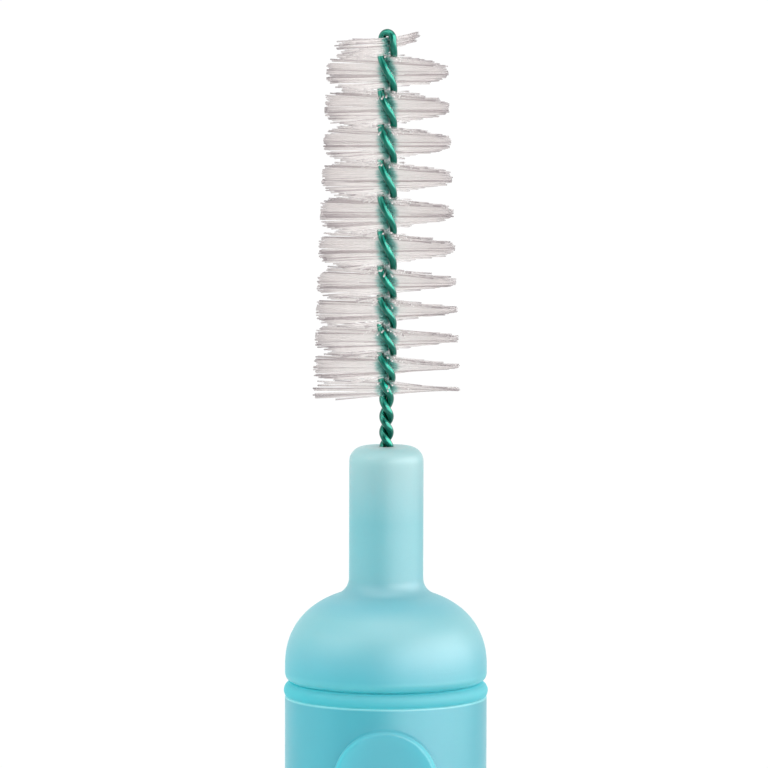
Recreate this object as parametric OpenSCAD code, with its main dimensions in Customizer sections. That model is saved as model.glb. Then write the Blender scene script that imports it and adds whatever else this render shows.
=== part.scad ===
// Interdental brush: a twisted-in-wire brush head that clicks into a slim holder.
// The foot of the holder stands on z = 0, the brush points up, and -Y is the front with the round pad.

/* [Holder] */
// Length of the holder from its foot to the seam under the brush head
holder_len = 38; // [34:1:60]
// Outside diameter of the barrel
barrel_d = 6.8; // [6.5:0.1:9]
// Rounding of the edge round the foot
foot_round = 0.7; // [0.3:0.1:1.2]
// Radius of the bead that rings the mouth of the barrel
bead_r = 0.29; // [0.24:0.01:0.46]
// How far the bead stands proud of the barrel
bead_proud = 0.04; // [0.02:0.01:0.1]
// Radius of the fine rounded step that ends the barrel under the bead
bead_step = 0.04; // [0.02:0.01:0.06]
// Diameter of the round pad on the front
pad_d = 3.5; // [3:0.1:4.2]
// How far the pad's flat face stands proud of the barrel
pad_proud = 0.08; // [0.05:0.01:0.2]
// Rounding of the pad's edge
pad_round = 0.15; // [0.08:0.01:0.3]
// Distance from the seam down to the middle of the pad
pad_drop = 2.95; // [2.8:0.05:5]

/* [Grip] */
// Number of finger grooves round the barrel
groove_count = 9; // [3:1:12]
// Distance from one groove to the next
groove_pitch = 1.6; // [1.2:0.1:1.9]
// Depth of a groove
groove_depth = 0.22; // [0.1:0.02:0.3]
// Radius of a groove's rounded hollow
groove_r = 0.6; // [0.45:0.05:0.8]
// Distance from the seam down to the first groove
groove_drop = 10; // [9:0.5:12]

/* [Hub] */
// Height of the domed shoulder above its widest line
dome_h = 2.68; // [2.3:0.02:3.6]
// Height of the dome's widest line above the seam
dome_rise = 0.5; // [0.35:0.05:0.8]
// How square the dome's outline is, where 2 is an ellipse
dome_power = 2.3; // [2:0.05:2.8]
// Rounding of the dome's lower edge
edge_r = 0.3; // [0.15:0.01:0.34]
// Diameter of the neck
neck_d = 2.5; // [2:0.02:3]
// Height of the neck's top above the seam
neck_top = 7.95; // [7:0.05:10]
// Rounding of the neck's top edge
neck_round = 0.5; // [0.3:0.05:0.7]
// Radius of the hollow where the neck meets the dome
neck_fillet = 0.6; // [0.2:0.05:0.8]

/* [Click fit] */
// Diameter of the collar that guides the shank in its socket
collar_d = 3.8; // [3.5:0.1:4.1]
// Length of the collar below the seam
collar_len = 2.2; // [1.6:0.1:2.8]
// Length of the whole shank below the seam
shank_len = 7; // [6.25:0.25:8]
// Diameter of the ring of four spring fingers under the collar
finger_d = 3.1; // [2.8:0.1:3.3]
// Width of the crossed slots that part the fingers
slot_w = 0.6; // [0.4:0.1:0.9]
// Height of the click ridge's middle above the end of the fingers
ridge_rise = 1.3; // [1.1:0.1:1.8]
// Half of the height of the click ridge
ridge_half = 0.45; // [0.3:0.05:0.6]
// How deep the socket's click groove is cut into its wall
detent_depth = 0.2; // [0.1:0.02:0.3]
// Chamfer on the ends of the fingers and on the socket's mouth
lead_in = 0.25; // [0.1:0.05:0.4]
// Width of the two keys that stop the head turning
key_w = 0.8; // [0.5:0.1:1.2]
// How far the keys stand out from the collar
key_out = 0.35; // [0.2:0.05:0.5]
// Clearance all round between the shank and its socket
fit_gap = 0.05; // [0.03:0.01:0.1]
// Clearance between the end of the shank and the socket's floor
floor_gap = 0.3; // [0.2:0.05:0.6]

/* [Twisted wire] */
// Diameter of the wire
wire_d = 0.25; // [0.22:0.01:0.3]
// Gap between the two legs where they lie side by side
leg_gap = 0.01; // [0.005:0.005:0.02]
// Length of one full turn of the twist along the upper part of the brush
open_pitch = 2.36; // [2.1:0.02:2.8]
// Length of one full turn along the lower part of the brush
mid_pitch = 1.9; // [1.7:0.02:2.1]
// Length of one full turn below the brush
tight_pitch = 1.06; // [1.04:0.02:1.4]
// Distance from the tip down to where the twist begins
eye_len = 0.64; // [0.64:0.02:0.9]
// Distance from the tip down to where the open twist ends
open_len = 8.28; // [7.5:0.1:9.5]
// Distance from there down to the middle of the stretch where the twist tightens
mid_len = 3.86; // [3:0.1:4.5]
// Half of the length over which the twist begins, and over which it leaves the open pitch
ease_len = 0.28; // [0.1:0.02:0.28]
// Half of the length over which the twist tightens into the bare wire
tighten_len = 1.08; // [0.4:0.04:1.2]
// Bare wire between the brush and the neck
bare_len = 1.6; // [1.2:0.02:4]
// Length of wire held inside the neck
held_len = 4.2; // [3:0.1:5]
// Clearance round the wire in the hub
wire_gap = 0.01; // [0.005:0.005:0.03]

/* [Bristles] */
// Thickness of the filaments squeezed between the legs
pack_t = 0.17; // [0.14:0.01:0.24]
// Clearance between the squeezed filaments and each leg
pack_gap = 0.005; // [0.003:0.001:0.01]
// Reach of the bristles from the axis at the tip
tip_reach = 1.99; // [1.6:0.05:2.4]
// Reach of the bristles from the axis at the bottom of the brush
root_reach = 2.51; // [2.2:0.05:3.2]
// Thickness of a bristle at its free end
bristle_t = 0.05; // [0.03:0.005:0.06]

/* [Hidden] */
$fn = 96;

barrel_r = barrel_d / 2;
// Cuts run past the surface that they open by this much
overrun = barrel_d / 20;

// The bead starts this many degrees round from its top, where the flat mouth ends
bead_start = 5;
bead_end = 180 - asin((bead_r - bead_proud - bead_step) / bead_r);
bead_mid_r = barrel_r + bead_proud - bead_r;
bead_mid_z = holder_len - bead_r * cos(bead_start);
bead_foot_z = bead_mid_z + bead_r * cos(bead_end);
arc_steps = 10;
fine_arc_steps = 4;

// Everything on the brush head is measured from the seam
seam_z = holder_len;
collar_r = collar_d / 2;
finger_r = finger_d / 2;
socket_r = collar_r + fit_gap;
socket_depth = shank_len + floor_gap;
// The pad begins in the middle of the barrel's wall, measured at the pad's sides, where the wall is thinnest
pad_r = pad_d / 2;
pad_root = (socket_r + detent_depth + sqrt(pow(barrel_r, 2) - pow(pad_r, 2))) / 2;
ridge_z = ridge_rise - shank_len;
neck_r = neck_d / 2;
dome_steps = 30;
// The fingers are parted to this height, just under the collar
slot_top = -collar_len - slot_w / 2;

wire_r = wire_d / 2;
// Distance of each leg from the axis, side by side and with filaments between
bare_offset = wire_r + leg_gap / 2;
brush_offset = wire_r + pack_gap + pack_t / 2;
// Turn of the eye, and degrees of twist for each millimetre of depth
eye_turn = -32;
open_rate = 360 / open_pitch;
mid_rate = 360 / mid_pitch;
tight_rate = 360 / tight_pitch;
eye_base = wire_r + brush_offset;

half_turn = 180;
row_count = 12;
levels = 9;
tip_levels = 3;
columns = 2;
// Gap between one row's slice of squeezed filaments and the next
slice_gap = wire_d / 25;
// Half of the width of the band of squeezed filaments
grip_share = 1.16;
band_half = wire_r * grip_share;
// Share of its reach that a bristle may fall short by
trim_share = 0.05;
// Degrees that the bristles lean apart from each other, and wander
column_splay = 14;
wander = 4;
// Share of the spare height between two levels that a bristle's end may rise or fall by: under a half,
// so that no two bristles cross
lift_share = 0.45;

tube_sides = 6;
eye_rings = 8;
// Degrees of twist, with a small share for depth, from one ring of the wire to the next
ring_step = 38;
depth_weight = ring_step / (2 * wire_d);

// Points of an arc in the plane of a profile, from one angle to another
function arc(mid, r, from, to, steps = arc_steps) =
    [for (i = [0:steps]) let (a = from + (to - from) * i / steps) mid + r * [cos(a), sin(a)]];

// Half an ellipse that bulges out of a wall at radius r, read from the bottom up
function bulge(r, z, out, half) =
    [for (i = [0:arc_steps]) let (a = -90 + 180 * i / arc_steps) [r + out * cos(a), z + half * sin(a)]];

// The dome's outline in one quarter: the angle is 0 at the widest line and 90 on the axis
function dome_point(a) =
    [barrel_r * pow(cos(a), 2 / dome_power), dome_rise + dome_h * pow(sin(a), 2 / dome_power)];

// Outward unit normal of the dome's outline at a point on it
function dome_normal(p) =
    let (
        n = [
            pow(p[0] / barrel_r, dome_power - 1) / barrel_r,
            pow((p[1] - dome_rise) / dome_h, dome_power - 1) / dome_h
        ]
    ) n / norm(n);

// Where the hollow under the neck touches the dome: it grows with the angle, so its table is read backwards
function fillet_reach(a) =
    let (p = dome_point(a)) p[0] + neck_fillet * dome_normal(p)[0];
fillet_table = [for (a = [89:-1:20]) [fillet_reach(a), a]];
fillet_angle = lookup(neck_r + neck_fillet, fillet_table);
fillet_foot = dome_point(fillet_angle);
fillet_mid = fillet_foot + neck_fillet * dome_normal(fillet_foot);
fillet_start = atan2(fillet_foot[1] - fillet_mid[1], fillet_foot[0] - fillet_mid[0]);

bore_r = bare_offset + wire_r + wire_gap;
bore_floor = neck_top - held_len - wire_gap;

// Half section of the holder with its socket, from the foot round to the socket's floor
function barrel_profile() = concat(
    [[0, 0]],
    arc([barrel_r - foot_round, foot_round], foot_round, -90, 0),
    arc([barrel_r - bead_step, bead_foot_z - bead_step], bead_step, 0, 90, fine_arc_steps),
    arc([bead_mid_r, bead_mid_z], bead_r, 90 - bead_end, 90 - bead_start),
    [[socket_r + lead_in, seam_z], [socket_r, seam_z - lead_in]],
    [for (p = bulge(socket_r, -ridge_z, detent_depth, ridge_half + fit_gap)) [p[0], seam_z - p[1]]],
    [[socket_r, seam_z - socket_depth], [0, seam_z - socket_depth]]
);

// Half section of the pad, from its root in the wall to its flat face
function pad_profile() = concat(
    [[0, pad_root], [pad_r, pad_root]],
    arc([pad_r - pad_round, barrel_r + pad_proud - pad_round], pad_round, 0, 90),
    [[0, barrel_r + pad_proud]]
);

// Half section of the hub, from the end of the fingers up to the bore for the wire
function hub_profile() = concat(
    [[0, -shank_len], [finger_r - lead_in, -shank_len], [finger_r, lead_in - shank_len]],
    bulge(finger_r, ridge_z, collar_r - finger_r, ridge_half),
    [[finger_r, -collar_len], [collar_r, -collar_len], [collar_r, 0]],
    arc([barrel_r - edge_r, edge_r], edge_r, -90, 0),
    [for (i = [0:dome_steps]) dome_point(fillet_angle * i / dome_steps)],
    arc(fillet_mid, neck_fillet, fillet_start, -180),
    arc([neck_r - neck_round, neck_top - neck_round], neck_round, 0, 90),
    [[bore_r, neck_top], [bore_r, bore_floor], [0, bore_floor]]
);

// Grows from 0 to a slope of 1 without a kink: the sum of a change of pitch that is eased in
function eased(u, half) =
    u < -half ? 0 : u > half ? u : pow(u + half, 2) / (4 * half);

// Turn of the first leg at a depth below the tip
function leg_turn(d) = eye_turn + open_rate * eased(d - eye_len, ease_len)
    + (mid_rate - open_rate) * eased(d - open_len, ease_len)
    + (tight_rate - mid_rate) * eased(d - open_len - mid_len, tighten_len);

// The depth at which the twist has reached a turn, read from a table
table_step = wire_d / 10;
turn_limit = half_turn * row_count;
table_len = eye_len + ease_len + (turn_limit - eye_turn) / min(open_rate, mid_rate, tight_rate);
turn_table = [for (d = [eye_len - ease_len:table_step:table_len]) [leg_turn(d), d]];
function depth_of(turn) = lookup(turn, turn_table);

// Depth of the edge above each row of bristles: the first row is the short one inside the eye
function row_edge(i) = i == 0 ? eye_base + leg_gap : depth_of(half_turn * (i - 1));
brush_end = row_edge(row_count);
neck_depth = brush_end + bare_len;
wire_end = neck_depth + held_len;
tip_z = seam_z + neck_top + neck_depth;

// The legs close up over a stretch round the bottom of the brush, in shares of the bare length
close_above_share = 0.8;
close_below_share = 0.35;
close_start = brush_end - bare_len * close_above_share;
close_end = brush_end + bare_len * close_below_share;
function smooth_share(u) = let (t = min(1, max(0, u))) t * t * (3 - 2 * t);
function leg_offset(d) = brush_offset
    - (brush_offset - bare_offset) * smooth_share((d - close_start) / (close_end - close_start));

// Depths of the rings along a leg, closer together where the twist is tight
function ring_key(d) = leg_turn(d) - eye_turn + depth_weight * d;
ring_table = [for (d = [0:table_step:wire_end + table_step]) [ring_key(d), d]];
ring_count = ceil((ring_key(wire_end) - ring_key(eye_base)) / ring_step);
ring_depths = [
    for (i = [0:ring_count])
        lookup(ring_key(eye_base) + (ring_key(wire_end) - ring_key(eye_base)) * i / ring_count, ring_table)
];

function turned(a) = [cos(a), sin(a), 0];
function unit(v) = v / norm(v);

// A point of the wire: side 1 is the first leg and -1 the second
function leg_point(d, side) =
    side * leg_offset(d) * turned(leg_turn(d)) + [0, 0, tip_z - d];
// One ring of the wire as [middle, direction, outward normal]
function leg_ring(d, side) =
    let (
        along = side * unit(leg_point(d - table_step, side) - leg_point(d + table_step, side)),
        out = side * turned(leg_turn(d))
    ) [leg_point(d, side), along, unit(out - (out * along) * along)];
function eye_ring(a) =
    let (out = cos(a) * turned(eye_turn) + [0, 0, sin(a)])
    [[0, 0, tip_z - eye_base] + brush_offset * out, -sin(a) * turned(eye_turn) + [0, 0, cos(a)], out];

// The wire is one length: up the first leg, over the eye and down the second
wire_rings = concat(
    [for (i = [ring_count:-1:0]) leg_ring(ring_depths[i], 1)],
    [for (i = [1:eye_rings - 1]) eye_ring(180 * i / eye_rings)],
    [for (i = [0:ring_count]) leg_ring(ring_depths[i], -1)]
);
leg_gaps = [
    for (d = ring_depths, t = ring_depths)
        if (abs(d - t) < open_pitch / 2)
            norm(leg_point(d, 1) - leg_point(t, -1)) - wire_d
];
echo(least_gap_between_the_legs = min(leg_gaps), rings = len(wire_rings));

// A closed tube round a list of rings, with flat ends
module tube(rings, r, sides) {
    last = len(rings) - 1;
    points = [
        for (ring = rings, k = [0:sides - 1])
            let (a = 360 * k / sides)
            ring[0] + r * (cos(a) * ring[2] + sin(a) * cross(ring[1], ring[2]))
    ];
    walls = [
        for (i = [0:last - 1], k = [0:sides - 1])
            let (a = i * sides + k, b = i * sides + (k + 1) % sides)
            each [[a, a + sides, b + sides], [a, b + sides, b]]
    ];
    ends = [
        for (k = [1:sides - 2])
            each [[0, k, k + 1], [last * sides, last * sides + k + 1, last * sides + k]]
    ];
    polyhedron(points, concat(walls, ends), convexity = 10);
}

// Half thickness of the squeezed filaments at a depth
function band_t(d) = leg_offset(d) - wire_r - pack_gap;

// Reach of the bristles at a depth
function reach(d) = tip_reach + (root_reach - tip_reach) * d / brush_end;

// One row of bristles on its slice of the squeezed band, between two depths. The band is a twisted
// strip, and each cell of its two edges grows into one four-sided bristle.
module bristle_row(from, to, n, seed) {
    edge_pts = columns + 1;
    chance = rands(-1, 1, 6 * n * columns, seed);
    edges = [for (j = [0:n]) from + (to - from) * j / n];
    spare = (to - from) / n - bristle_t;
    // The same point on the other edge lies half a turn away
    band_points = [
        for (side = [1, -1], d = edges, c = [0:columns])
            let (
                out = turned(leg_turn(d) + 90),
                across = turned(leg_turn(d) + 180),
                t = band_t(d) * (2 * c / columns - 1)
            ) side * (band_half * out + t * across) + [0, 0, tip_z - d]
    ];
    tips = [
        for (side = [0, 1], j = [0:n - 1], c = [0:columns - 1])
            let (
                k = 3 * ((side * n + j) * columns + c),
                d = (edges[j] + edges[j + 1]) / 2,
                lean = column_splay * (2 * c - columns + 1) + wander * chance[k],
                a = leg_turn(d) + 90 + lean + half_turn * side,
                far = reach(d) * (1 - trim_share * abs(chance[k + 1])) - bristle_t / 2,
                lift = lift_share * spare * chance[k + 2]
            ) for (corner = [[-1, 1], [1, 1], [1, -1], [-1, -1]])
                far * turned(a) + [0, 0, tip_z - d + lift]
                    + bristle_t / 2 * (corner[0] * turned(a + 90) + corner[1] * [0, 0, 1])
    ];
    tip_base = len(band_points);
    function at(side, j, c) = (side * (n + 1) + j) * edge_pts + c;
    bristles = [
        for (side = [0, 1], j = [0:n - 1], c = [0:columns - 1])
            let (
                t = tip_base + 4 * ((side * n + j) * columns + c),
                base = [at(side, j, c), at(side, j, c + 1), at(side, j + 1, c + 1), at(side, j + 1, c)]
            ) each concat(
                [[t, t + 1, t + 2], [t, t + 2, t + 3]],
                [
                    for (k = [0:3])
                        let (m = (k + 1) % 4)
                        each [[base[k], base[m], t + m], [base[k], t + m, t + k]]
                ]
            )
    ];
    // The diagonals are the ones that keep the strip clear of the legs on both sides of it
    faces = [
        for (j = [0:n - 1]) each [
            [at(0, j + 1, columns), at(0, j, columns), at(1, j + 1, 0)],
            [at(0, j, columns), at(1, j, 0), at(1, j + 1, 0)],
            [at(0, j, 0), at(0, j + 1, 0), at(1, j, columns)],
            [at(0, j + 1, 0), at(1, j + 1, columns), at(1, j, columns)]
        ]
    ];
    ends = [
        for (c = [0:columns - 1])
            let (e = columns - c)
            each [
                [at(0, 0, c + 1), at(0, 0, c), at(1, 0, e)],
                [at(0, 0, c + 1), at(1, 0, e), at(1, 0, e - 1)],
                [at(0, n, c), at(0, n, c + 1), at(1, n, e - 1)],
                [at(0, n, c), at(1, n, e - 1), at(1, n, e)]
            ]
    ];
    polyhedron(concat(band_points, tips), concat(bristles, faces, ends), convexity = 10);
}

// The slim round holder, with the socket that the brush head clicks into
module holder_barrel() {
    color([0.36, 0.77, 0.82])
    difference() {
        union() {
            rotate_extrude() polygon(barrel_profile());
            translate([0, 0, seam_z - pad_drop])
                rotate([90, 0, 0])
                    rotate_extrude() polygon(pad_profile());
        }
        for (i = [0:groove_count - 1])
            translate([0, 0, seam_z - groove_drop - i * groove_pitch])
                rotate_extrude()
                    translate([barrel_r + groove_r - groove_depth, 0])
                        circle(r = groove_r);
        for (side = [0, 180])
            rotate(side)
                translate([0, -key_w / 2 - fit_gap, seam_z - collar_len - fit_gap])
                    cube([collar_r + key_out + fit_gap, key_w + 2 * fit_gap, collar_len + fit_gap + overrun]);
    }
}

// The moulded hub: the neck that grips the wire, the dome, and the shank with its spring fingers
module brush_hub() {
    color([0.55, 0.82, 0.86])
    translate([0, 0, seam_z])
    difference() {
        union() {
            rotate_extrude() polygon(hub_profile());
            for (side = [0, 180])
                rotate(side)
                    translate([finger_r / 2, -key_w / 2, -collar_len])
                        cube([collar_r + key_out - finger_r / 2, key_w, collar_len]);
        }
        for (side = [0, 90])
            rotate(side)
                translate([-collar_r - overrun, -slot_w / 2, -shank_len - overrun])
                    cube([2 * (collar_r + overrun), slot_w, slot_top + shank_len + overrun]);
    }
}

// One wire folded over the eye, with its two legs twisted together round the filaments
module twisted_wire() {
    color([0.05, 0.55, 0.45])
    tube(wire_rings, wire_r, tube_sides);
}

// The short row inside the eye has fewer levels than the others
module bristles_of(i) {
    color([0.93, 0.9, 0.91])
    bristle_row(
        row_edge(i - 1) + slice_gap / 2,
        row_edge(i) - slice_gap / 2,
        i == 1 ? tip_levels : levels,
        i
    );
}

holder_barrel();
brush_hub();
twisted_wire();
for (i = [1:row_count])
    bristles_of(i);
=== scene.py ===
"""Looks of the interdental brush: the lacquered wire, the nylon filaments and the two moulded plastics.

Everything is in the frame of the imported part, in metres. The brush's own sizes are written in millimetres
times MM.
"""

import math
import random

import bpy
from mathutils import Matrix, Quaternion, Vector


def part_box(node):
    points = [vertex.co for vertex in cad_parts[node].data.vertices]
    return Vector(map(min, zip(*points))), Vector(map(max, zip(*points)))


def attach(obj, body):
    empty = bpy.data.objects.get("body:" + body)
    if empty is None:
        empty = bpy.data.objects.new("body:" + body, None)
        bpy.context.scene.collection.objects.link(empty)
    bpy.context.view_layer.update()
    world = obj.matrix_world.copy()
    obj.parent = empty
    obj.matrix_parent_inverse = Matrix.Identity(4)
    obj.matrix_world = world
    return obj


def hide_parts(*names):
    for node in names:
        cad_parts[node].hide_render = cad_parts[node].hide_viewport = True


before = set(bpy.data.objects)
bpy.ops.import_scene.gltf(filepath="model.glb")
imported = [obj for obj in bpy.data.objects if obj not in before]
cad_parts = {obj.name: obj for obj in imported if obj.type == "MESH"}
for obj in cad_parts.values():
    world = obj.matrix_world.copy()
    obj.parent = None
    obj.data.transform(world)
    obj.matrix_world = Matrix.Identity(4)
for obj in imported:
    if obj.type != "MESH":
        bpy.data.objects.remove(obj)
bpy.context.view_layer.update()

MM = 0.001

# The wire: its diameter, the thickness of the band of filaments that its legs squeeze, and the play beside
# it. Bare legs press on each other by a little, so that no light shows between them.
WIRE_D = 0.25 * MM
BAND_T = 0.17 * MM
BAND_GAP = 0.005 * MM
PRESS = 0.006 * MM
BARE_OFFSET = (WIRE_D - PRESS) / 2
BRUSH_OFFSET = (WIRE_D + BAND_T) / 2 + BAND_GAP

# The twist: the wire's turn at the eye, the depths below the tip at which the twist begins and its open
# pitch ends, and how much further the middle pitch goes before the tight one. A change of pitch is spread
# over EASE_LEN to each side of it, and the last one over TIGHTEN_LEN.
EYE_TURN = math.radians(-32)
EYE_LEN = 0.64 * MM
OPEN_LEN = 8.28 * MM
MID_LEN = 3.86 * MM
OPEN_PITCH = 2.36 * MM
MID_PITCH = 1.9 * MM
TIGHT_PITCH = 1.06 * MM
EASE_LEN = 0.28 * MM
TIGHTEN_LEN = 1.08 * MM

# The bare stretch above the neck, and the shares of it over which the legs close up, above and below the
# brush's foot
BARE_LEN = 1.6 * MM
CLOSE_ABOVE_SHARE = 0.8
CLOSE_BELOW_SHARE = 0.1

# How finely the wire is drawn: the distance of its rings, the steps round the eye, and the section's sides
WIRE_STEP = 0.03 * MM
EYE_STEPS = 24
WIRE_SIDES = 20
# How often the search for a depth halves its range
HALVINGS = 40

# The filaments: thickness, spacing along the wire, how many stand side by side in the band, and the radius
# that they are trimmed to at the tip and at the foot. The first row fills the eye to this much above the
# middle of its bend, and the last row is cut short and has half of the columns.
FILAMENT_D = 0.062 * MM
FILAMENT_SPACING = 0.056 * MM
FILAMENT_COLUMNS = 4
TIP_REACH = 1.99 * MM
ROOT_REACH = 2.51 * MM
EYE_FILL = 0.04 * MM
LAST_ROW_SHARE = 0.86

# The shape of one filament: it leaves the band straight, bends at this share of its reach, and falls short
# of the trim by up to TRIM_SHARE of it
KNEE_SHARE = 0.16
TRIM_SHARE = 0.06
# How finely it is drawn: the steps of each half, how much they crowd near the wire, where it bends, and the
# sides of its section
HALF_STEPS = 6
CROWDING = 1.4
FILAMENT_SIDES = 6
# Each stands off its even place in the row by up to this share of the spacing of the columns
SPACING_JITTER = 0.3

# Left and right are as seen from the front. Down a row, the twist turns its halves from front to back, but
# they are drawn together near the row's middle: this share of their turn is left there, in the first row
# and in the last. They wander from their place by up to so much to the side and in height, and by more in
# height where they point straight forward or back.
TURN_SHARES = {"left": (0.3, 0.3), "right": (0.5, 0.85)}
SPLAYS = {"left": math.radians(16), "right": math.radians(12)}
RISES = {"left": 0.07 * MM, "right": 0.03 * MM}
FRONT_RISE = 0.17 * MM
FRONT_POWER = 16
# The left halves also spread out in height, most near the tip and not at all in the last row: in a row, the
# top one's end rises by up to this much and the bottom one's sinks by it
FANS = {"left": 0.1 * MM, "right": 0.0}
# The first row is held loosely in the eye: its right half rises, and its front half is swept to the left,
# where it sags by so much for each radian of its sweep
TIP_SWEEPS = {"left": (math.radians(-46), 0.0), "right": (math.radians(-6), math.radians(6))}
TIP_RISES = {"left": 0.03 * MM, "right": 0.12 * MM}
TIP_SAGS = {"left": 0.22 * MM, "right": 0.0}

# The plastics: the size of the clouds in their colour and the levels that they run between, and the grain
# of the frosted and of the polished mould, with the depth of its bump. A real mould's grain is about a tenth
# of that, too fine for the view to show, so it is drawn coarser.
CLOUD_SIZE = 2.5 * MM
CLOUD_LEVELS = (0.95, 1.05)
FROST_SIZE = 0.09 * MM
FROST_DEPTH = 0.004 * MM
POLISH_SIZE = 0.3 * MM
POLISH_DEPTH = 0.0015 * MM
# How far light wanders in them, and the share of that for red, green and blue
SCATTER = 2.4 * MM
HUB_SCATTER = (0.5, 1.0, 1.0)
HOLDER_SCATTER = (0.4, 1.0, 1.0)
# The size of the pools in the wire's lacquer, and their depth
POOL_SIZE = 0.4 * MM
POOL_DEPTH = 0.002 * MM

# The plastics' tones at heights above the seam in millimetres, with light and shade painted in: a bright
# band at the seam painted against the shade of the crease, the holder's painted highlight line under its
# bead, and on the hub a deeper band just above the seam and painted paler light on the dome and at the thin
# top of the neck
HUB_TONES_AND_PAINTED_LIGHT = [
    (-1.0, "#50bfcc"), (-0.05, "#50bfcc"), (0.0, "#50e6f4"), (0.1, "#52cfde"), (0.4, "#44bfd0"),
    (1.0, "#5cbecc"), (1.8, "#78c3cc"), (2.3, "#78c3cc"), (2.7, "#6abecb"), (3.6, "#76c0c9"),
    (5.4, "#72bec7"), (6.3, "#84c0c7"), (7.4, "#94c0c4"), (8.0, "#96bfc2"),
]
# The holder's two bright stops under the bead paint a highlight line, and its bright stop at the seam is
# painted light against the crease's shade
HOLDER_TONES_AND_PAINTED_LIGHT = [
    (-1.0, "#22b6c7"), (-0.56, "#22b6c7"), (-0.52, "#80dce6"), (-0.49, "#80dce6"), (-0.45, "#2cc0d0"),
    (-0.3, "#22bccd"), (-0.06, "#26bece"), (0.0, "#44dfee"),
]

# The hub's roughness runs between these over its grain
FROSTED = (0.44, 0.56)
# The holder's roughness where it is polished and where it is left matt, and how much the grain adds to it.
# It turns from the one to the other between these heights, measured from the seam, at the foot of its bead.
POLISHED = 0.3
MATT = 0.7
GRAIN_ADDS = 0.08
BEAD_FOOT = -0.56 * MM
BEAD_SKIN = -0.4 * MM
# The round pad on its front: radius, and how far its middle lies below the seam. Its rim is matt to each
# side of a ring that lies RIM_INSET inside its edge, over PAD_RIM, and is polished at RIM_FADE times that.
PAD_R = 1.75 * MM
PAD_DROP = 2.95 * MM
PAD_RIM = 0.07 * MM
RIM_INSET = PAD_RIM / 4
RIM_FADE = 1.5

# Shares of a filament's reach: it is packed among others up to the first, and stands free from the second
PACKED_SHARE = 0.09
FREE_SHARE = 0.14
# The filaments' tones at such shares, with light painted in: the wire's green painted on them between its
# legs, white along most of their length and painted greyer, as shade, at their trimmed ends. Some strands
# carry a painted dark reflection along their whole length.
PALE_STRAND_PAINTED_LIGHT = [
    (PACKED_SHARE, "#3f9086"), (FREE_SHARE, "#8cc2ba"),
    (0.2, "#f6f0ee"), (0.86, "#e0d8d6"), (0.99, "#cbc3c3"),
]
# The strands that carry a painted dark reflection, with the same painted green and greyer ends
DARK_STRAND_PAINTED_REFLECTION = [
    (PACKED_SHARE, "#1f665b"), (FREE_SHARE, "#5fa79b"),
    (0.2, "#c2b7b5"), (0.86, "#a99e9f"), (0.99, "#9f9496"),
]
# By how much of its reach the painted green ends sooner on some strands
PAINTED_GREEN_SPREAD = 0.04
# The strands turn from white to the painted dark reflection between these shares of their number
PAINTED_REFLECTION_FROM = 0.66
PAINTED_REFLECTION_TO = 0.86
# How solid a strand looks from the side, at the axis and at its end, and the shares of that which are left
# along its length and for light that passes through it. In a layer weight, 0 is straight on and 1 is
# edge-on: a strand turns clear between the levels of ALONG_FADE.
SOLID_ROOT = 0.46
SOLID_END = 0.74
SOLID_ALONG = 0.02
SOLID_TO_LIGHT = 0.08
ALONG_FADE = (0.3, 0.75)
# How solid a cut end looks straight on and from the side, and the levels between which it turns so
CUT_SOLID = (0.85, 0.1)
CUT_FADE = (0.03, 0.14)
NYLON_IOR = 1.53

# The world: its level, what is left of that in reflections of the front, and the cosines of the angle from
# straight ahead between which it fades
WHITE = "#ffffff"
AMBIENT = 1.0
FRONT_SHARE = 0.12
FRONT_FADE = (0.45, 0.95)
# The floor: half of its side in metres, how much of its look comes from its own glow, and the glow's level
FLOOR_HALF = 6.0
FLOOR_SHARE = 0.75
FLOOR_GLOW = 1.06

# The lamps: place, the point that they aim at, width and height in metres, and power in watts. The fills
# light the brush, and the glints show only in its gloss.
BRISTLES = (0, 0, 0.05)
NECK = (0, 0, 0.045)
FILLS = {
    "left_fill": ((-0.36, -0.03, 0.16), BRISTLES, 0.25, 0.4, 0.1),
    "right_fill": ((0.35, -0.12, 0.16), BRISTLES, 0.25, 0.4, 0.07),
}
GLINTS = {
    "left_glint": ((-0.36, -0.02, 0.1), BRISTLES, 0.3, 0.5, 0.14),
    "right_glint": ((0.31, -0.18, 0.08), BRISTLES, 1.0, 0.5, 7.6),
    "high_left_glint": ((-0.28, -0.17, 0.27), BRISTLES, 0.22, 0.22, 0.36),
    "top_glint": ((0, -0.1, 0.42), NECK, 0.36, 0.3, 0.8),
}

# The camera, at the photograph's angle
CAMERA_PLACE = Vector((-0.087, -228, 70)) * MM
CAMERA_AIM = Vector((-0.087, 0, 48.05)) * MM
CAMERA_ANGLE = math.radians(6.438)
CAMERA_ROLL = math.radians(0.14)
CAMERA_NEAR = 10 * MM

# How many walls of filaments a ray of light may pass, one behind the other
WALLS_SEEN_THROUGH = 64

ROWS = sorted(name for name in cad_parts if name.startswith("bristle_row"))
LAST_ROW = len(ROWS) - 1
tip_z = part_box("twisted_wire")[1].z
wire_foot = tip_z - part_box("twisted_wire")[0].z
seam_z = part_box("holder_barrel")[1].z
pad_middle = (0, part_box("holder_barrel")[0].y, seam_z - PAD_DROP)


def eased(u, half):
    """Grows from 0 to a slope of 1 without a kink."""
    if u < -half:
        return 0.0
    if u > half:
        return u
    return (u + half) ** 2 / (4 * half)


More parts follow.
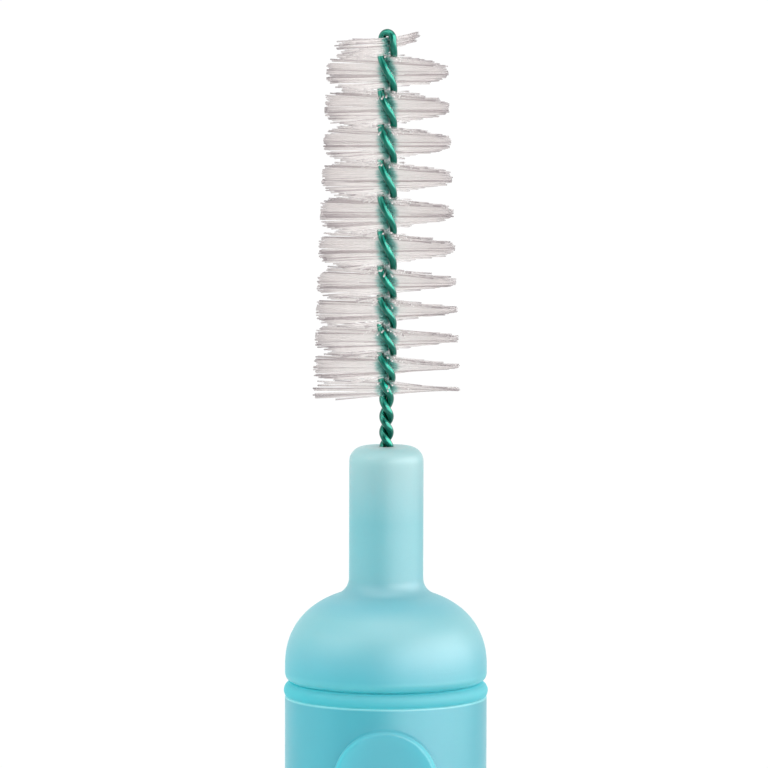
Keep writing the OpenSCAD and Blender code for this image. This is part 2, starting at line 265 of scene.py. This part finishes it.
def leg_turn(depth):
    """Turn of the first leg at a depth below the tip, in radians."""
    open_rate, mid_rate, tight_rate = (2 * math.pi / p for p in (OPEN_PITCH, MID_PITCH, TIGHT_PITCH))
    return (EYE_TURN + open_rate * eased(depth - EYE_LEN, EASE_LEN)
            + (mid_rate - open_rate) * eased(depth - OPEN_LEN, EASE_LEN)
            + (tight_rate - mid_rate) * eased(depth - OPEN_LEN - MID_LEN, TIGHTEN_LEN))


def depth_of(turn):
    """The depth below the tip at which the twist reaches a turn, found by halving."""
    above, below = 0.0, wire_foot
    for _ in range(HALVINGS):
        middle = (above + below) / 2
        if leg_turn(middle) < turn:
            above = middle
        else:
            below = middle
    return below


# The rows part where the two legs lie side by side across the view, and the first row starts inside the eye
eye_base = WIRE_D / 2 + BRUSH_OFFSET
row_edges = [eye_base - EYE_FILL] + [depth_of(math.pi * i) for i in range(len(ROWS))]
brush_end = row_edges[-1]


def leg_offset(depth):
    """Distance of each leg from the axis, which closes up at the foot of the brush."""
    start = brush_end - BARE_LEN * CLOSE_ABOVE_SHARE
    end = brush_end + BARE_LEN * CLOSE_BELOW_SHARE
    t = min(1.0, max(0.0, (depth - start) / (end - start)))
    return BRUSH_OFFSET - (BRUSH_OFFSET - BARE_OFFSET) * t * t * (3 - 2 * t)


def turned(angle):
    """The level direction at an angle about the brush's axis."""
    return Vector((math.cos(angle), math.sin(angle), 0.0))


def on_axis(depth):
    """The point on the brush's axis at a depth below the tip."""
    return Vector((0, 0, tip_z - depth))


def leg_point(depth, side):
    """A point on the middle line of one leg, which is side 1 or -1."""
    return on_axis(depth) + side * leg_offset(depth) * turned(leg_turn(depth))


def wire_path():
    """The middle line of the wire: up the first leg, over the eye and down the second."""
    count = round((wire_foot - eye_base) / WIRE_STEP)
    depths = [eye_base + (wire_foot - eye_base) * i / count for i in range(count + 1)]
    up = [leg_point(depth, 1) for depth in reversed(depths)]
    over = []
    for i in range(1, EYE_STEPS):
        a = math.pi * i / EYE_STEPS
        bend = math.cos(a) * turned(EYE_TURN) + Vector((0, 0, math.sin(a)))
        over.append(on_axis(eye_base) + BRUSH_OFFSET * bend)
    down = [leg_point(depth, -1) for depth in depths]
    return up + over + down


def add_tube(verts, faces, path, radius, sides):
    """Adds a tube round a path to a mesh's lists, closed at both ends. Its section is carried along the
    path, so that it never spins."""
    base = len(verts)
    along = (path[1] - path[0]).normalized()
    out = along.orthogonal().normalized()
    for i, point in enumerate(path):
        before = path[max(0, i - 1)]
        after = path[min(len(path) - 1, i + 1)]
        new_along = (after - before).normalized()
        out = along.rotation_difference(new_along) @ out
        out = (out - out.dot(new_along) * new_along).normalized()
        along = new_along
        across = along.cross(out)
        for k in range(sides):
            angle = 2 * math.pi * k / sides
            verts.append(point + radius * (math.cos(angle) * out + math.sin(angle) * across))
    for i in range(len(path) - 1):
        ring, next_ring = base + i * sides, base + (i + 1) * sides
        for k in range(sides):
            m = (k + 1) % sides
            faces.append((ring + k, ring + m, next_ring + m, next_ring + k))
    last_ring = base + (len(path) - 1) * sides
    faces.append(tuple(base + k for k in reversed(range(sides))))
    faces.append(tuple(last_ring + k for k in range(sides)))


def make_piece(name, verts, faces, materials):
    """A mesh object from lists. Its tube walls are smooth. Its cut ends are flat, in the last material."""
    mesh = bpy.data.meshes.new(name)
    mesh.from_pydata([tuple(v) for v in verts], [], faces)
    for material in materials:
        mesh.materials.append(material)
    for polygon in mesh.polygons:
        wall = len(polygon.vertices) == 4
        polygon.use_smooth = wall
        polygon.material_index = 0 if wall else len(materials) - 1
    mesh.update()
    piece = bpy.data.objects.new(name, mesh)
    bpy.context.scene.collection.objects.link(piece)
    return piece


def make_wire(materials):
    """The whole wire, folded at the eye and twisted with itself."""
    verts, faces = [], []
    add_tube(verts, faces, wire_path(), WIRE_D / 2, WIRE_SIDES)
    return make_piece("lacquered_wire", verts, faces, materials)


def trim_radius(depth):
    """Radius that the filaments are trimmed to, which grows from the tip to the foot of the brush."""
    return TIP_REACH + (ROOT_REACH - TIP_REACH) * depth / brush_end


def filament_path(depth, shift, splays, rises, trims):
    """One filament from tip to tip, through the band between the legs. Each half has one soft knee."""
    angle = leg_turn(depth) + math.pi / 2
    centre = on_axis(depth) + shift * turned(angle + math.pi / 2)
    halves = []
    for side in (0, 1):
        out = angle + math.pi * side
        reach = trim_radius(depth) * trims[side]
        knee = centre + KNEE_SHARE * reach * turned(out)
        tip = on_axis(depth - rises[side]) + reach * turned(out + splays[side])
        half = []
        for i in range(HALF_STEPS + 1):
            t = (i / HALF_STEPS) ** CROWDING
            half.append((1 - t) ** 2 * centre + 2 * t * (1 - t) * knee + t * t * tip)
        halves.append(half)
    return list(reversed(halves[0])) + halves[1][1:]


def splay_of(chance, row, side, turn):
    """Angle by which one half stands off the twist. Its turn counts from the middle of its row."""
    if row == 0:
        return chance.triangular(*TIP_SWEEPS[side])
    first_share, last_share = TURN_SHARES[side]
    share = first_share + (last_share - first_share) * row / LAST_ROW
    drawn_in = (share - 1) * (1 - (2 * turn / math.pi) ** 2) * turn
    return drawn_in + chance.triangular(-SPLAYS[side], SPLAYS[side])


def rise_of(chance, row, side, place, splay, forward):
    """Height of one half's end above its root. Its place is 1 at its row's top and -1 at the bottom."""
    if row == 0:
        lift = TIP_RISES[side] + TIP_SAGS[side] * splay
        spread = RISES[side]
    else:
        lift = FANS[side] * (1 - row / LAST_ROW) * place
        spread = RISES[side] + FRONT_RISE * forward ** FRONT_POWER
    return lift + chance.uniform(-spread, spread)


def make_bristle_row(node, row, materials):
    """The filaments of one half turn, in place of the node's plainer bristles."""
    chance = random.Random(row)
    top, bottom = row_edges[row], row_edges[row + 1]
    columns = FILAMENT_COLUMNS
    if row == LAST_ROW:
        bottom = top + (bottom - top) * LAST_ROW_SHARE
        columns = FILAMENT_COLUMNS // 2
    levels = round((bottom - top) / FILAMENT_SPACING)
    middle = (leg_turn(top) + leg_turn(bottom)) / 2
    # The two halves of a filament swap sides from one row to the next
    sides = ("right", "left") if row % 2 == 0 else ("left", "right")
    verts, faces = [], []
    for j in range(levels):
        for c in range(columns):
            jitter = chance.uniform(-SPACING_JITTER, SPACING_JITTER)
            depth = top + (bottom - top) * (j + (c + 0.5 + jitter) / FILAMENT_COLUMNS) / levels
            room = max(0.0, leg_offset(depth) - WIRE_D / 2 - FILAMENT_D / 2)
            shift = room * (2 * ((j + c) % FILAMENT_COLUMNS) / (FILAMENT_COLUMNS - 1) - 1)
            turn = leg_turn(depth)
            place = 1 - 2 * (depth - top) / (bottom - top)
            splays, rises = [], []
            for side in sides:
                splay = splay_of(chance, row, side, turn - middle)
                splays.append(splay)
                rises.append(rise_of(chance, row, side, place, splay, abs(math.cos(turn + splay))))
            trims = [1 - TRIM_SHARE * chance.random() ** 2 for _ in sides]
            path = filament_path(depth, shift, splays, rises, trims)
            add_tube(verts, faces, path, FILAMENT_D / 2, FILAMENT_SIDES)
    return make_piece("nylon_" + node, verts, faces, materials)


def linear(hex_colour):
    """An sRGB hex colour as linear red, green, blue and alpha."""
    parts = [int(hex_colour[i:i + 2], 16) / 255 for i in (1, 3, 5)]
    return [c / 12.92 if c <= 0.04045 else ((c + 0.055) / 1.055) ** 2.4 for c in parts] + [1.0]


def add_node(tree, kind, settings=None, links=None):
    """Adds a node with its settings, and links its inputs from other sockets."""
    node = tree.nodes.new(kind)
    for key, value in (settings or {}).items():
        if isinstance(key, int) or key in node.inputs:
            node.inputs[key].default_value = value
        else:
            setattr(node, key, value)
    for key, socket in (links or {}).items():
        tree.links.new(socket, node.inputs[key])
    return node


def new_material(name):
    """An empty material, and its tree of nodes."""
    material = bpy.data.materials.new(name)
    material.use_nodes = True
    material.node_tree.nodes.clear()
    return material, material.node_tree


def add_place(tree):
    """The place on the object, and its height alone."""
    place = add_node(tree, "ShaderNodeTexCoord").outputs["Object"]
    return place, add_node(tree, "ShaderNodeSeparateXYZ", None, {0: place}).outputs["Z"]


def add_tones(tree, value, tones):
    """The colour for each value, from a list of values and hex colours."""
    lowest, highest = tones[0][0], tones[-1][0]
    share = add_node(tree, "ShaderNodeMapRange", {"From Min": lowest, "From Max": highest},
                     {"Value": value})
    ramp = add_node(tree, "ShaderNodeValToRGB", None, {"Fac": share.outputs["Result"]})
    stops = ramp.color_ramp.elements
    for level, _ in tones[1:-1]:
        stops.new((level - lowest) / (highest - lowest))
    for stop, (_, tone) in zip(stops, tones):
        stop.color = linear(tone)
    return ramp.outputs["Color"]


def add_height_tones(tree, height, tones):
    """The colour at each height, from a list of heights above the seam in millimetres and hex colours."""
    return add_tones(tree, height, [(seam_z + level * MM, tone) for level, tone in tones])


def add_moulding_grain(tree, place, tone, grain, depth):
    """The skin of a moulding: faint clouds in its colour, the mould's fine grain, and the grain's bump."""
    cloud = add_node(tree, "ShaderNodeTexNoise", {"Scale": 1 / CLOUD_SIZE, "Detail": 2.0},
                     {"Vector": place})
    level = add_node(tree, "ShaderNodeMapRange", {
        "To Min": CLOUD_LEVELS[0], "To Max": CLOUD_LEVELS[1],
    }, {"Value": cloud.outputs["Fac"]})
    clouded = add_node(tree, "ShaderNodeHueSaturation", None, {"Value": level.outputs[0], "Color": tone})
    skin = add_node(tree, "ShaderNodeTexNoise", {"Scale": 1 / grain, "Detail": 3.0}, {"Vector": place})
    bump = add_node(tree, "ShaderNodeBump", {"Strength": 0.6, "Distance": depth},
                    {"Height": skin.outputs["Fac"]})
    return clouded.outputs["Color"], skin.outputs["Fac"], bump.outputs["Normal"]


def frosted_polypropylene():
    """Polypropylene moulded in a spark-eroded mould: frosted and milky. Light and shade are painted into its
    colour by height: paler at the thin top of the neck and on the dome, deeper just above the seam, and a
    bright band painted at the seam itself against the shade of the crease."""
    material, tree = new_material("frosted_polypropylene")
    place, height = add_place(tree)
    tone = add_height_tones(tree, height, HUB_TONES_AND_PAINTED_LIGHT)
    colour, grain, normal = add_moulding_grain(tree, place, tone, FROST_SIZE, FROST_DEPTH)
    gloss = add_node(tree, "ShaderNodeMapRange", {"To Min": FROSTED[0], "To Max": FROSTED[1]},
                     {"Value": grain})
    shader = add_node(tree, "ShaderNodeBsdfPrincipled", {
        "IOR": 1.49, "Specular IOR Level": 1.0, "Subsurface Weight": 0.9,
        "Subsurface Radius": HUB_SCATTER, "Subsurface Scale": SCATTER,
        "Sheen Weight": 0.12, "Sheen Roughness": 0.4,
    }, {"Base Color": colour, "Roughness": gloss.outputs[0], "Normal": normal})
    add_node(tree, "ShaderNodeOutputMaterial", None, {"Surface": shader.outputs[0]})
    return material


def add_pad_rim(tree, place):
    """Roughness that is matt in a narrow ring on the rim of the pad, and polished elsewhere."""
    away = add_node(tree, "ShaderNodeVectorMath", {"operation": "DISTANCE", 1: pad_middle}, {0: place})
    past = add_node(tree, "ShaderNodeMath", {"operation": "SUBTRACT", 1: PAD_R - RIM_INSET},
                    {0: away.outputs["Value"]})
    off = add_node(tree, "ShaderNodeMath", {"operation": "ABSOLUTE"}, {0: past.outputs[0]})
    rim = add_node(tree, "ShaderNodeMapRange", {
        "From Min": PAD_RIM, "From Max": RIM_FADE * PAD_RIM, "To Min": MATT, "To Max": POLISHED,
    }, {"Value": off.outputs[0]})
    return rim.outputs["Result"]


def glossy_abs():
    """ABS moulded in a polished mould: satin gloss with a deep, even turquoise. The bead and the pad's rim
    are left matt. A thin bright line under the bead is a painted highlight, and the edge of the mouth is
    painted paler against the shade of the crease at the seam."""
    material, tree = new_material("glossy_abs")
    place, height = add_place(tree)
    tone = add_height_tones(tree, height, HOLDER_TONES_AND_PAINTED_LIGHT)
    colour, grain, normal = add_moulding_grain(tree, place, tone, POLISH_SIZE, POLISH_DEPTH)
    bead = add_node(tree, "ShaderNodeMapRange", {
        "From Min": seam_z + BEAD_FOOT, "From Max": seam_z + BEAD_SKIN, "To Min": POLISHED, "To Max": MATT,
    }, {"Value": height})
    skin = add_node(tree, "ShaderNodeMath", {"operation": "MAXIMUM"},
                    {0: bead.outputs["Result"], 1: add_pad_rim(tree, place)})
    gloss = add_node(tree, "ShaderNodeMath", {"operation": "MULTIPLY_ADD", 1: GRAIN_ADDS},
                     {0: grain, 2: skin.outputs[0]})
    shader = add_node(tree, "ShaderNodeBsdfPrincipled", {
        "IOR": 1.52, "Specular IOR Level": 1.0, "Subsurface Weight": 0.8,
        "Subsurface Radius": HOLDER_SCATTER, "Subsurface Scale": SCATTER,
        "Sheen Weight": 0.1, "Sheen Roughness": 0.3,
    }, {"Base Color": colour, "Roughness": gloss.outputs[0], "Normal": normal})
    add_node(tree, "ShaderNodeOutputMaterial", None, {"Surface": shader.outputs[0]})
    return material


def lacquered_steel_wire():
    """Drawn steel under a clear green lacquer: the metal shines through it, with a thin bright line along
    the wire and near black where it mirrors its other leg. The lacquer pools a little deeper in places."""
    material, tree = new_material("lacquered_steel_wire")
    place, _ = add_place(tree)
    pool = add_node(tree, "ShaderNodeTexNoise", {"Scale": 1 / POOL_SIZE, "Detail": 2.0}, {"Vector": place})
    tone = add_node(tree, "ShaderNodeMix", {
        "data_type": "RGBA", 6: linear("#024c42"), 7: linear("#0a7a67"),
    }, {"Factor": pool.outputs["Fac"]})
    bump = add_node(tree, "ShaderNodeBump", {"Strength": 0.4, "Distance": POOL_DEPTH},
                    {"Height": pool.outputs["Fac"]})
    shader = add_node(tree, "ShaderNodeBsdfPrincipled", {
        "Metallic": 1.0, "Roughness": 0.3, "Coat Weight": 0.55, "Coat Roughness": 0.05,
    }, {"Base Color": tone.outputs[2], "Normal": bump.outputs["Normal"]})
    add_node(tree, "ShaderNodeOutputMaterial", None, {"Surface": shader.outputs[0]})
    return material


def add_reach_share(tree, luck):
    """How far out on its filament a point lies, as a share of the reach there, with a little luck in it."""
    place, height = add_place(tree)
    reach = add_node(tree, "ShaderNodeMapRange", {
        "From Min": tip_z, "From Max": tip_z - brush_end, "To Min": TIP_REACH, "To Max": ROOT_REACH,
    }, {"Value": height})
    level = add_node(tree, "ShaderNodeVectorMath", {"operation": "MULTIPLY", 1: (1, 1, 0)}, {0: place})
    out = add_node(tree, "ShaderNodeVectorMath", {"operation": "LENGTH"}, {0: level.outputs[0]})
    even = add_node(tree, "ShaderNodeMath", {"operation": "DIVIDE"},
                    {0: out.outputs["Value"], 1: reach.outputs[0]})
    share = add_node(tree, "ShaderNodeMath", {"operation": "MULTIPLY_ADD", 1: PAINTED_GREEN_SPREAD},
                     {0: luck, 2: even.outputs[0]})
    return share.outputs[0]


def add_strand_alpha(tree, share):
    """How solid the strands are: clear where they are looked at along their length, solid where they are
    packed between the legs, and thin to the light, so that it reaches the strands behind."""
    side = add_node(tree, "ShaderNodeMapRange", {"To Min": SOLID_ROOT, "To Max": SOLID_END},
                    {"Value": share})
    facing = add_node(tree, "ShaderNodeLayerWeight", {"Blend": 0.5})
    along = add_node(tree, "ShaderNodeMapRange", {
        "From Min": ALONG_FADE[0], "From Max": ALONG_FADE[1], "To Min": 1.0, "To Max": SOLID_ALONG,
    }, {"Value": facing.outputs["Facing"]})
    thin = add_node(tree, "ShaderNodeMath", {"operation": "MULTIPLY"},
                    {0: side.outputs[0], 1: along.outputs[0]})
    packed = add_node(tree, "ShaderNodeMapRange", {
        "From Min": PACKED_SHARE, "From Max": FREE_SHARE, "To Min": 1.0, "To Max": 0.0,
    }, {"Value": share})
    solid = add_node(tree, "ShaderNodeMath", {"operation": "MAXIMUM"},
                     {0: thin.outputs[0], 1: packed.outputs[0]})
    path = add_node(tree, "ShaderNodeLightPath")
    matte = add_node(tree, "ShaderNodeMath", {"operation": "MAXIMUM"},
                     {0: path.outputs["Is Shadow Ray"], 1: path.outputs["Is Diffuse Ray"]})
    light = add_node(tree, "ShaderNodeMath", {"operation": "MAXIMUM"},
                     {0: matte.outputs[0], 1: path.outputs["Is Glossy Ray"]})
    dimmed = add_node(tree, "ShaderNodeMapRange", {"To Min": 1.0, "To Max": SOLID_TO_LIGHT},
                      {"Value": light.outputs[0]})
    alpha = add_node(tree, "ShaderNodeMath", {"operation": "MULTIPLY"},
                     {0: solid.outputs[0], 1: dimmed.outputs[0]})
    return alpha.outputs[0]


def nylon_filament():
    """Drawn clear nylon. Most strands look white, and a few carry a painted dark reflection along their
    whole length. They let light through to the strands behind. The wire's green is painted on them where
    they crowd between its legs, and they are painted greyer, as shade, at their trimmed ends."""
    material, tree = new_material("drawn_nylon_filament")
    luck = add_node(tree, "ShaderNodeNewGeometry").outputs["Random Per Island"]
    share = add_reach_share(tree, luck)
    # Which strands carry the painted dark reflection
    dark = add_node(tree, "ShaderNodeMapRange", {
        "interpolation_type": "SMOOTHSTEP", "From Min": PAINTED_REFLECTION_FROM, "From Max": PAINTED_REFLECTION_TO, "To Max": 1.0,
    }, {"Value": luck})
    # Tones with painted light: the wire's green between the legs, and greyer ends as painted shade
    pale_tone_painted_light = add_tones(tree, share, PALE_STRAND_PAINTED_LIGHT)
    dark_tone_painted_reflection = add_tones(tree, share, DARK_STRAND_PAINTED_REFLECTION)
    tone = add_node(tree, "ShaderNodeMix", {"data_type": "RGBA"},
                    {"Factor": dark.outputs[0], 6: pale_tone_painted_light, 7: dark_tone_painted_reflection})
    shader = add_node(tree, "ShaderNodeBsdfPrincipled", {"Roughness": 0.3, "IOR": NYLON_IOR},
                      {"Base Color": tone.outputs[2], "Alpha": add_strand_alpha(tree, share)})
    add_node(tree, "ShaderNodeOutputMaterial", None, {"Surface": shader.outputs[0]})
    return material


def cut_nylon():
    """The ends of the filaments, which the trimming knife leaves rough. Light that runs along the strand
    makes an end white when it is looked at straight on, and lets it vanish from the side."""
    material, tree = new_material("trimmed_nylon_end")
    facing = add_node(tree, "ShaderNodeLayerWeight", {"Blend": 0.5})
    solid = add_node(tree, "ShaderNodeMapRange", {
        "From Min": CUT_FADE[0], "From Max": CUT_FADE[1],
        "To Min": CUT_SOLID[0], "To Max": CUT_SOLID[1],
    }, {"Value": facing.outputs["Facing"]})
    shader = add_node(tree, "ShaderNodeBsdfPrincipled", {
        "Base Color": linear("#ece9e7"), "Roughness": 0.7, "IOR": NYLON_IOR,
    }, {"Alpha": solid.outputs["Result"]})
    add_node(tree, "ShaderNodeOutputMaterial", None, {"Surface": shader.outputs[0]})
    return material


def finish_cad_node(node, material):
    """Gives a moulding its finish."""
    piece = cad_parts[node]
    piece.data.materials.clear()
    piece.data.materials.append(material)


def build_brush():
    """The two mouldings as they are, and the wire and the filaments in place of their plainer solids."""
    finish_cad_node("brush_hub", frosted_polypropylene())
    finish_cad_node("holder_barrel", glossy_abs())
    wire = make_wire([lacquered_steel_wire()])
    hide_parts("twisted_wire")
    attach(wire, "brush_head")
    nylon = [nylon_filament(), cut_nylon()]
    for index, node in enumerate(ROWS):
        row = make_bristle_row(node, index, nylon)
        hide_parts(node)
        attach(row, "brush_head")


def add_camera():
    """A long lens in front of the brush and a little above it, as the photograph was taken."""
    data = bpy.data.cameras.new("camera")
    data.angle = CAMERA_ANGLE
    data.clip_start = CAMERA_NEAR
    camera = bpy.data.objects.new("camera", data)
    bpy.context.scene.collection.objects.link(camera)
    camera.rotation_mode = "QUATERNION"
    camera.location = CAMERA_PLACE
    level = (CAMERA_AIM - CAMERA_PLACE).to_track_quat("-Z", "Y")
    camera.rotation_quaternion = level @ Quaternion((0, 0, 1), CAMERA_ROLL)
    bpy.context.scene.camera = camera


def add_soft_box(name, place, aim, width, height, power):
    """A rectangular lamp that faces the point it aims at."""
    data = bpy.data.lights.new(name, "AREA")
    data.shape = "RECTANGLE"
    data.size = width
    data.size_y = height
    data.energy = power
    lamp = bpy.data.objects.new(name, data)
    bpy.context.scene.collection.objects.link(lamp)
    lamp.location = place
    lamp.rotation_mode = "QUATERNION"
    lamp.rotation_quaternion = (Vector(aim) - Vector(place)).to_track_quat("-Z", "Y")
    return lamp


def add_lamps():
    """Two weak fills from the sides, and bright panels for the gloss, which add no light of their own."""
    for name, settings in FILLS.items():
        add_soft_box(name, *settings)
    for name, settings in GLINTS.items():
        panel = add_soft_box(name, *settings)
        panel.visible_diffuse = False
        panel.visible_transmission = False
        panel.visible_camera = False


def add_clear_view(tree, path):
    """1 for what is looked at, also through clear things, and 0 for light."""
    return add_node(tree, "ShaderNodeMath", {"operation": "MAXIMUM"}, {
        0: path.outputs["Is Camera Ray"], 1: path.outputs["Is Transmission Ray"],
    }).outputs[0]


def light_world():
    """White all round. In gloss it is dim on the camera's side, so that the front keeps its colour."""
    world = bpy.data.worlds.new("studio")
    bpy.context.scene.world = world
    world.use_nodes = True
    tree = world.node_tree
    tree.nodes.clear()
    path = add_node(tree, "ShaderNodeLightPath")
    around = add_node(tree, "ShaderNodeTexCoord").outputs["Generated"]
    front = add_node(tree, "ShaderNodeVectorMath", {"operation": "DOT_PRODUCT", 1: (0, -1, 0)}, {0: around})
    dim = add_node(tree, "ShaderNodeMapRange", {
        "interpolation_type": "SMOOTHSTEP", "From Min": FRONT_FADE[0], "From Max": FRONT_FADE[1],
        "To Min": 1.0, "To Max": FRONT_SHARE,
    }, {"Value": front.outputs["Value"]})
    lit = add_node(tree, "ShaderNodeMix", {"data_type": "FLOAT", "A": AMBIENT},
                   {"Factor": path.outputs["Is Glossy Ray"], "B": dim.outputs["Result"]})
    strength = add_node(tree, "ShaderNodeMix", {"data_type": "FLOAT", "B": 1.0},
                        {"Factor": add_clear_view(tree, path), "A": lit.outputs[0]})
    background = add_node(tree, "ShaderNodeBackground", {"Color": linear(WHITE)},
                          {"Strength": strength.outputs[0]})
    add_node(tree, "ShaderNodeOutputWorld", None, {"Surface": background.outputs[0]})


def white_floor():
    """Matte white paper that takes the shadow. To the camera and in gloss it looks as white as the world."""
    material, tree = new_material("white_floor")
    path = add_node(tree, "ShaderNodeLightPath")
    seen = add_node(tree, "ShaderNodeMath", {"operation": "MAXIMUM"},
                    {0: add_clear_view(tree, path), 1: path.outputs["Is Glossy Ray"]})
    share = add_node(tree, "ShaderNodeMath", {"operation": "MULTIPLY", 1: FLOOR_SHARE},
                     {0: seen.outputs[0]})
    matte = add_node(tree, "ShaderNodeBsdfDiffuse", {"Color": linear("#f4f4f4")})
    glow = add_node(tree, "ShaderNodeEmission", {"Color": linear(WHITE), "Strength": FLOOR_GLOW})
    mix = add_node(tree, "ShaderNodeMixShader", None,
                   {0: share.outputs[0], 1: matte.outputs[0], 2: glow.outputs[0]})
    add_node(tree, "ShaderNodeOutputMaterial", None, {"Surface": mix.outputs[0]})
    return material


def lay_floor():
    """The plain floor that the brush stands on."""
    corners = [(-1, -1), (1, -1), (1, 1), (-1, 1)]
    mesh = bpy.data.meshes.new("floor")
    mesh.from_pydata([(x * FLOOR_HALF, y * FLOOR_HALF, 0) for x, y in corners], [], [(0, 1, 2, 3)])
    mesh.materials.append(white_floor())
    floor = bpy.data.objects.new("floor", mesh)
    bpy.context.scene.collection.objects.link(floor)


add_camera()
build_brush()
light_world()
lay_floor()
add_lamps()

bpy.context.scene.view_settings.view_transform = "Standard"
bpy.context.scene.cycles.transparent_max_bounces = WALLS_SEEN_THROUGH
